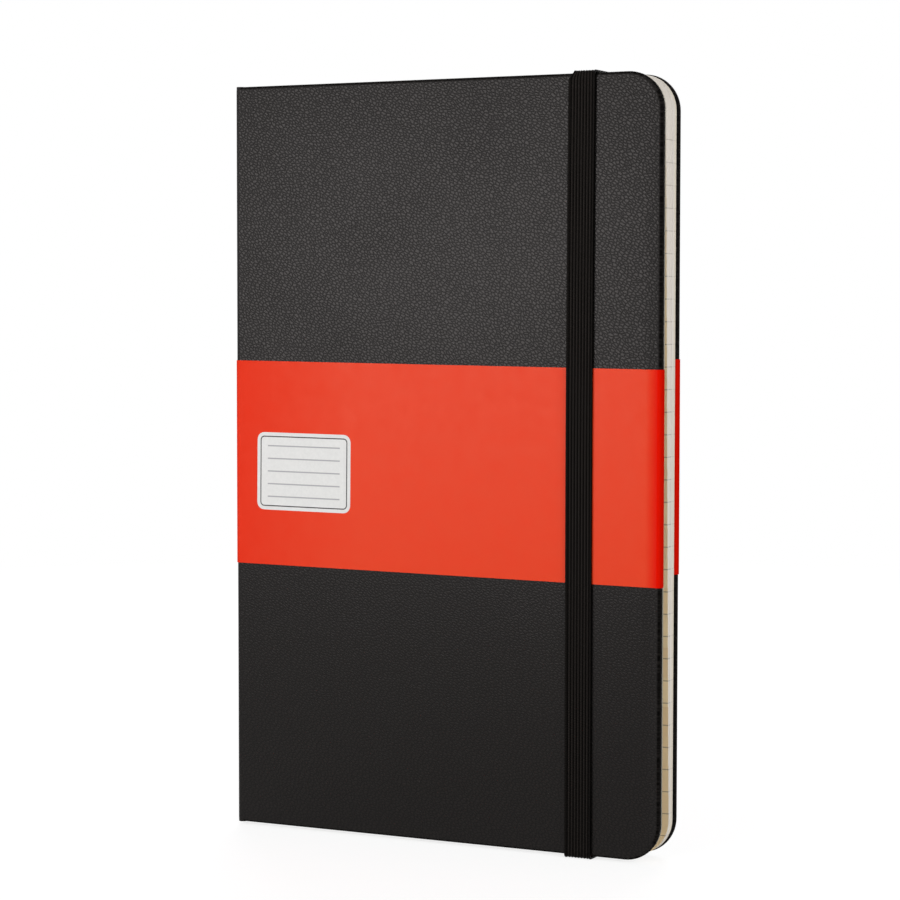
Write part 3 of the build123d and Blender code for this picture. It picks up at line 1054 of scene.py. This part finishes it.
# ribbon marker: satin with firm edges, flat between two leaves, cut at a slant
ribbonWeave = {
    "width": 6 * mm,
    "columns": 12,
    "runStep": 4 * mm,
    "sway": 0.7 * mm,
    "thick": 0.09 * mm,
    "edgeRise": 0.02 * mm,
    "near": 0.01 * mm,
    "leastRise": 1 * mm,
}


def makeRibbon(weave):
    low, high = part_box("ribbon_marker")
    half = weave["width"] / 2
    middleY = (low.y + high.y) / 2
    top = (low.x + half, middleY, high.z)
    end = (high.x - half, middleY, low.z + half)
    line = alongLine(top, end, weave["runStep"])
    route = []
    for k, place in enumerate(line):
        sway = weave["sway"] * math.sin(2 * math.pi * k / (len(line) - 1))
        route.append((place[0] + sway, place[1], place[2]))
    start = Vector(route[0])
    reach = Vector((half, 0, 0))
    ribbon = extrudeRow("ribbon_satin", start - reach, start + reach, weave["columns"] - 1, route)
    for vert in ribbon.data.vertices:
        if abs(vert.co.z - end[2]) < weave["near"]:
            vert.co.z -= vert.co.x - route[-1][0]
    applyModifier(ribbon, "SOLIDIFY", thickness=weave["thick"], offset=0)

    def longEdge(edge):
        rise = abs(edge.verts[0].co.z - edge.verts[1].co.z)
        return sharpEdge(edge) and rise > weave["leastRise"]

    enterEdit(ribbon)
    faceOutwards()
    # the two long edges are a little thicker than the satin between them
    pick("edges", longEdge)
    bpy.ops.transform.shrink_fatten(value=weave["edgeRise"])
    leaveEdit()
    dress(ribbon, ribbonSatin)
    smoothShade(ribbon, degrees=40)
    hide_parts("ribbon_marker")
    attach(ribbon, "notes_1")


makeRibbon(ribbonWeave)
print("ribbon ready")

# pocket gussets: strips of cloth folded inwards, one leg on the cover and the other on the pocket's card
gussetCut = {"layer": 0.05 * mm, "columns": 24, "legStep": 2 * mm, "foldSteps": 6}


def makeGusset(end, cut):
    node = "pocket_gusset_" + end
    low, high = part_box(node)
    outer, fold = (high.z, low.z) if end == "head" else (low.z, high.z)
    inward = 1 if fold > outer else -1
    coverY, cardY = high.y - cut["layer"] / 2, low.y + cut["layer"] / 2
    bend = (coverY - cardY) / 2
    bendZ = fold - inward * bend
    turn = arcPoints((cardY + bend, 0), bend, 0, 180, cut["foldSteps"])
    profile = alongLine((coverY, outer), (coverY, bendZ), cut["legStep"])[:-1]
    profile += [(y, bendZ + inward * z) for y, z in turn]
    profile += alongLine((cardY, bendZ), (cardY, outer), cut["legStep"])[1:]
    route = [(low.x, y, z) for y, z in profile]
    cloth = extrudeRow("gusset_" + end, route[0], (high.x,) + route[0][1:], cut["columns"] - 1, route)
    applyModifier(cloth, "SOLIDIFY", thickness=cut["layer"], offset=0)
    enterEdit(cloth)
    faceOutwards()
    leaveEdit()
    dress(cloth, gussetCloth)
    smoothShade(cloth, degrees=50)
    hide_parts(node)
    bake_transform(cloth)


for end in ("head", "tail"):
    makeGusset(end, gussetCut)
print("gussets ready")

# the solids that stay get their materials
for name, obj in nodes.items():
    if name.startswith("section_"):
        dress(obj, sectionPaper)
    elif name in ("notes_4", "notes_5", "notes_6", "back_flyleaf"):
        dress(obj, rearPaper)
    elif name.startswith("notes_") or name == "sewn_back":
        dress(obj, notesPaper)
    elif name.endswith("flyleaf") or name.endswith("pastedown") or name == "pocket_edge_strip":
        dress(obj, endpaper)
    elif name.endswith("_board"):
        dress(obj, greyBoard)
dress(nodes["pocket_panel"], pocketCard)
dress(nodes["spine_lining"], liningMull)
dress(nodes["binding_thread"], threadLinen)
print("leaves dressed")

# floor, world and lamps: a pale floor that keeps the shadow, with white all round
stageLook = {
    "floor": (0.80, 0.80, 0.80, 1),
    "lift": 0.78,
    "keep": 0.36,
    "near": 0.25,
    "far": 0.80,
    "ambient": 0.25,
    "size": 30.0,
    "drop": 0.05 * mm,
}


def seenDirectly(tree):
    path = addNode(tree, "LightPath").outputs
    seen = mathNode(tree, "ADD", path["Is Camera Ray"], path["Is Glossy Ray"])
    return mathNode(tree, "MINIMUM", mathNode(tree, "ADD", seen, path["Is Transmission Ray"]), 1.0)


def makeFloor(look):
    deselectAll()
    bpy.ops.mesh.primitive_plane_add(size=look["size"], location=(0, 0, cadBox[0].z - look["drop"]))
    floor = bpy.context.object
    floor.name = "floor"
    material = bpy.data.materials.new("floor_white")
    material.use_nodes = True
    tree = material.node_tree
    tree.nodes.remove(tree.nodes["Principled BSDF"])
    plain = addNode(tree, "BsdfDiffuse", {"Color": look["floor"]}).outputs[0]
    # the shadow shows near the object, and the floor runs out to white
    where = placeOn(tree)
    reach = addNode(tree, "VectorMath", {0: where}, operation="LENGTH").outputs["Value"]
    strength = mapTo(tree, reach, look["near"], look["far"], look["lift"], 1.0)
    grey = mapTo(tree, reach, look["near"], look["far"], look["keep"], 0.0)
    soft = addNode(tree, "BsdfDiffuse", {"Color": grey}).outputs[0]
    glow = addNode(tree, "Emission", {"Color": (1, 1, 1, 1), "Strength": strength}).outputs[0]
    lifted = addNode(tree, "AddShader", {0: soft, 1: glow}).outputs[0]
    shown = addNode(tree, "MixShader", {0: seenDirectly(tree), 1: plain, 2: lifted}).outputs[0]
    tree.links.new(shown, tree.nodes["Material Output"].inputs["Surface"])
    dress(floor, material)


def makeWorld(look):
    world = bpy.data.worlds.new("white_studio")
    world.use_nodes = True
    bpy.context.scene.world = world
    tree = world.node_tree
    sky = tree.nodes["Background"]
    sky.inputs["Color"].default_value = (1, 1, 1, 1)
    tree.links.new(mapTo(tree, seenDirectly(tree), 0.0, 1.0, look["ambient"], 1.0), sky.inputs["Strength"])


lamps = [
    {
        "name": "key_softbox",
        "place": (-0.40, -0.92, 0.32),
        "aim": (0.0, 0.0, 0.16),
        "size": (0.67, 0.40),
        "power": 6.4,
    },
    {
        "name": "low_softbox",
        "place": (-0.40, -0.91, 0.062),
        "aim": (0.0, 0.0, 0.062),
        "size": (0.65, 0.11),
        "power": 1.1,
    },
    {
        "name": "edge_softbox",
        "place": (0.92, -0.38, 0.42),
        "aim": (0.05, 0.0, 0.10),
        "size": (0.5, 0.5),
        "power": 4.4,
    },
    {
        "name": "back_softbox",
        "place": (-0.35, 0.95, 0.75),
        "aim": (0.0, 0.0, 0.10),
        "size": (0.9, 0.6),
        "power": 7.0,
    },
]


def makeLamp(lamp):
    deselectAll()
    bpy.ops.object.light_add(type="AREA", location=lamp["place"])
    light = bpy.context.object
    light.name = lamp["name"]
    light.data.shape = "RECTANGLE"
    light.data.size, light.data.size_y = lamp["size"]
    light.data.energy = lamp["power"]
    away = Vector(lamp["place"]) - Vector(lamp["aim"])
    light.rotation_euler = away.to_track_quat("Z", "Y").to_euler()


cameraLook = {
    "place": (0.3179, -0.6482, 0.1490),
    "pitch": 86.834,
    "turn": 26.146,
    "roll": 0.063,
    "lens": 104.38,
    "sensor": 36,
    "reach": 100,
}


def makeCamera(look):
    deselectAll()
    angles = Euler((math.radians(look["pitch"]), 0, math.radians(look["turn"])))
    angles.rotate_axis("Z", math.radians(look["roll"]))
    bpy.ops.object.camera_add(location=look["place"], rotation=angles)
    camera = bpy.context.object
    camera.data.lens = look["lens"]
    camera.data.sensor_width = look["sensor"]
    camera.data.clip_end = look["reach"]
    bpy.context.scene.camera = camera


makeFloor(stageLook)
makeWorld(stageLook)
for lamp in lamps:
    makeLamp(lamp)
makeCamera(cameraLook)
bpy.context.scene.view_settings.view_transform = "Standard"
print("stage ready")

deselectAll()
